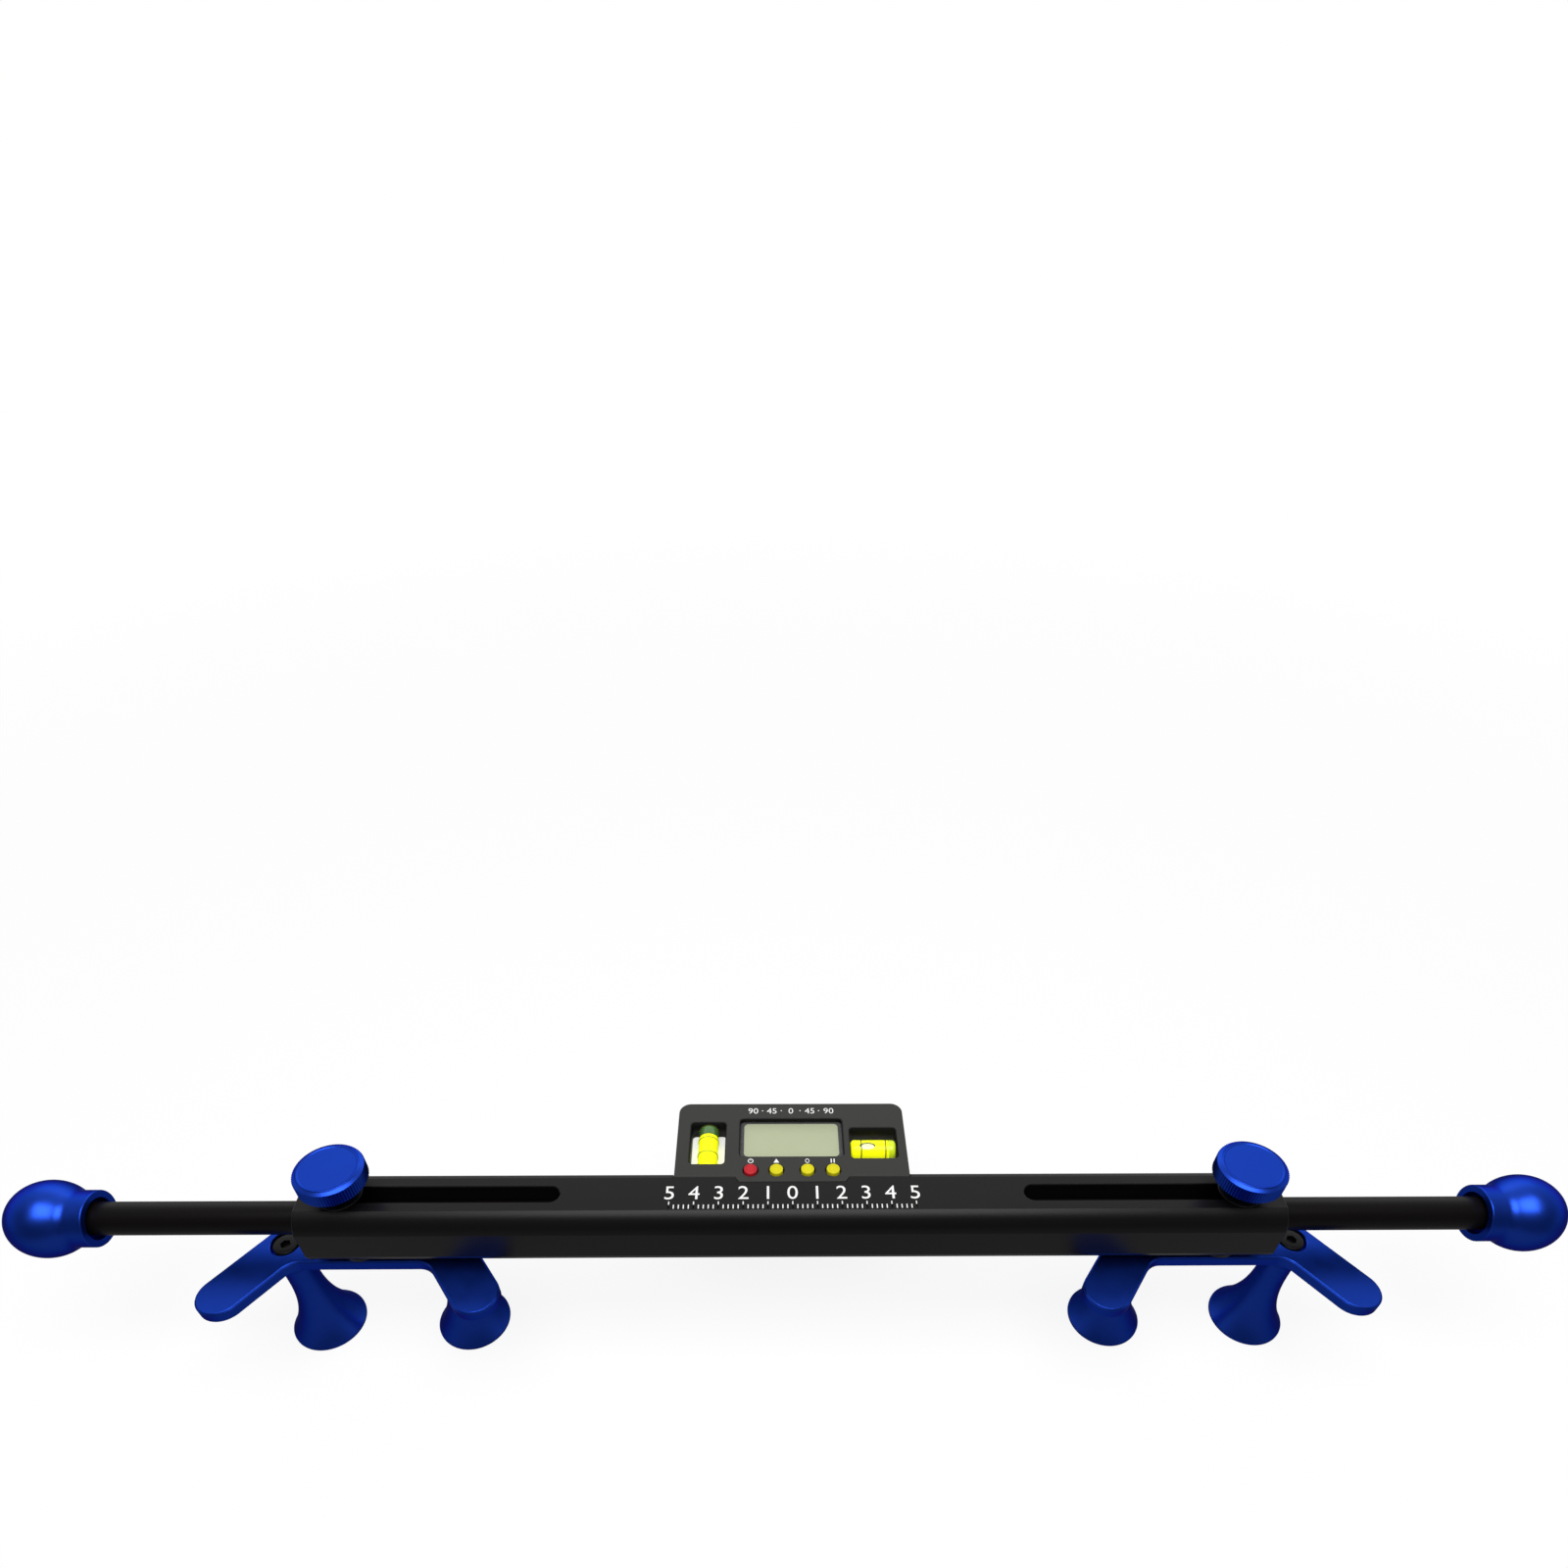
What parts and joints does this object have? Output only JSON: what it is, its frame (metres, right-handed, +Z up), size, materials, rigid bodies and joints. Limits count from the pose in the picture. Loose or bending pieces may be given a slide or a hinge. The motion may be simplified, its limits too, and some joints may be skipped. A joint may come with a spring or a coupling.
{
  "type": "steering wheel level",
  "caption": "Slotted rail with telescoping ball-handled rods, swivelling rim brackets on flared posts and a small digital level with bubble vials.",
  "frame": {"origin": "bottom centre of the bounding box, on the table on which the four post mouths stand", "axes": "+X along the rail to the right, +Y from the rail towards the digital level, +Z up, out of the rail's front face"},
  "size_m": [0.6438, 0.09, 0.1109],
  "materials": {
    "black_anodised": "satin black anodised",
    "blue_anodised": "satin blue anodised",
    "black_steel": "black oxide",
    "steel": "plain",
    "grey_plastic": "fine texture",
    "clear_plastic": "clear",
    "lcd_glass": "satin",
    "board_green": "solder mask",
    "red_button": "satin",
    "yellow_button": "satin",
    "vial_liquid": "clear yellow green",
    "white_plastic": "matte"
  },
  "bodies": {
    "rail": {"rail_body": "black_anodised", "level_front_case": "grey_plastic", "level_rear_case": "grey_plastic", "display_window": "clear_plastic", "lcd_panel": "lcd_glass", "circuit_board": "board_green", "power_switch": "steel", "unit_switch": "steel", "zero_switch": "steel", "hold_switch": "steel", "upright_vial_tube": "clear_plastic", "upright_vial_plug": "vial_liquid", "upright_vial_liquid": "vial_liquid", "upright_vial_backing": "white_plastic", "level_vial_tube": "clear_plastic", "level_vial_plug": "vial_liquid", "level_vial_liquid": "vial_liquid", "level_vial_backing": "white_plastic", "coin_cell": "steel", "battery_base_contact": "steel", "battery_clip_contact": "steel", "lower_left_case_screw": "black_steel", "upper_left_case_screw": "black_steel", "lower_right_case_screw": "black_steel", "upper_right_case_screw": "black_steel", "left_mounting_screw": "black_steel", "right_mounting_screw": "black_steel"},
    "battery_cover": {"battery_cover": "grey_plastic"},
    "power_button": {"power_button": "red_button"},
    "unit_button": {"unit_button": "yellow_button"},
    "zero_button": {"zero_button": "yellow_button"},
    "hold_button": {"hold_button": "yellow_button"},
    "left_slider": {"left_rod": "black_anodised", "left_ball_handle": "blue_anodised"},
    "left_clamp_washer": {"left_knob_washer": "black_steel"},
    "left_clamp_knob": {"left_knob": "blue_anodised", "left_knob_stud": "steel"},
    "left_bracket": {"left_bracket_plate": "blue_anodised", "left_bracket_hub": "black_anodised", "left_outer_post": "blue_anodised", "left_inner_post": "blue_anodised", "left_outer_post_screw": "black_steel", "left_inner_post_screw": "black_steel"},
    "right_slider": {"right_rod": "black_anodised", "right_ball_handle": "blue_anodised"},
    "right_clamp_washer": {"right_knob_washer": "black_steel"},
    "right_clamp_knob": {"right_knob": "blue_anodised", "right_knob_stud": "steel"},
    "right_bracket": {"right_bracket_plate": "blue_anodised", "right_bracket_hub": "black_anodised", "right_outer_post": "blue_anodised", "right_inner_post": "blue_anodised", "right_outer_post_screw": "black_steel", "right_inner_post_screw": "black_steel"}
  },
  "joints": [
    {"name": "left_slide", "type": "slide", "parent": "rail", "child": "left_slider", "axis": [1, 0, 0], "range_m": [0, 0.0835]},
    {"name": "left_knob_lift", "type": "slide", "parent": "left_slider", "child": "left_clamp_washer", "axis": [0, 0, 1], "range_m": [0, 0.0015]},
    {"name": "left_knob_turn", "type": "hinge", "parent": "left_clamp_washer", "child": "left_clamp_knob", "pos_m": [-0.183, -0.00975, 0.0943], "axis": [0, 0, 1], "range_deg": [0, 540.1]},
    {"name": "left_bracket_swivel", "type": "hinge", "parent": "left_slider", "child": "left_bracket", "pos_m": [-0.183, -0.00975, 0.0583], "axis": [0, 0, 1], "continuous": true},
    {"name": "right_slide", "type": "slide", "parent": "rail", "child": "right_slider", "axis": [-1, 0, 0], "range_m": [0, 0.0835]},
    {"name": "right_knob_lift", "type": "slide", "parent": "right_slider", "child": "right_clamp_washer", "axis": [0, 0, 1], "range_m": [0, 0.0015]},
    {"name": "right_knob_turn", "type": "hinge", "parent": "right_clamp_washer", "child": "right_clamp_knob", "pos_m": [0.183, -0.00975, 0.0943], "axis": [0, 0, 1], "range_deg": [0, 540.1]},
    {"name": "right_bracket_swivel", "type": "hinge", "parent": "right_slider", "child": "right_bracket", "pos_m": [0.183, -0.00975, 0.0583], "axis": [0, 0, 1], "continuous": true},
    {"name": "power_button_press", "type": "slide", "parent": "rail", "child": "power_button", "axis": [0, 0, -1], "range_m": [0, 0.0006], "stiffness_N_per_m": 600, "springref_m": -0.0004},
    {"name": "unit_button_press", "type": "slide", "parent": "rail", "child": "unit_button", "axis": [0, 0, -1], "range_m": [0, 0.0006], "stiffness_N_per_m": 600, "springref_m": -0.0004},
    {"name": "zero_button_press", "type": "slide", "parent": "rail", "child": "zero_button", "axis": [0, 0, -1], "range_m": [0, 0.0006], "stiffness_N_per_m": 600, "springref_m": -0.0004},
    {"name": "hold_button_press", "type": "slide", "parent": "rail", "child": "hold_button", "axis": [0, 0, -1], "range_m": [0, 0.0006], "stiffness_N_per_m": 600, "springref_m": -0.0004},
    {"name": "battery_cover_slide", "type": "slide", "parent": "rail", "child": "battery_cover", "axis": [0, 1, 0], "range_m": [0, 0.0345]}
  ],
  "couplings": [
    {"joint": "left_knob_turn", "follows": "left_knob_lift", "rad_per_m": 6283.2},
    {"joint": "right_knob_turn", "follows": "right_knob_lift", "rad_per_m": 6283.2}
  ]
}
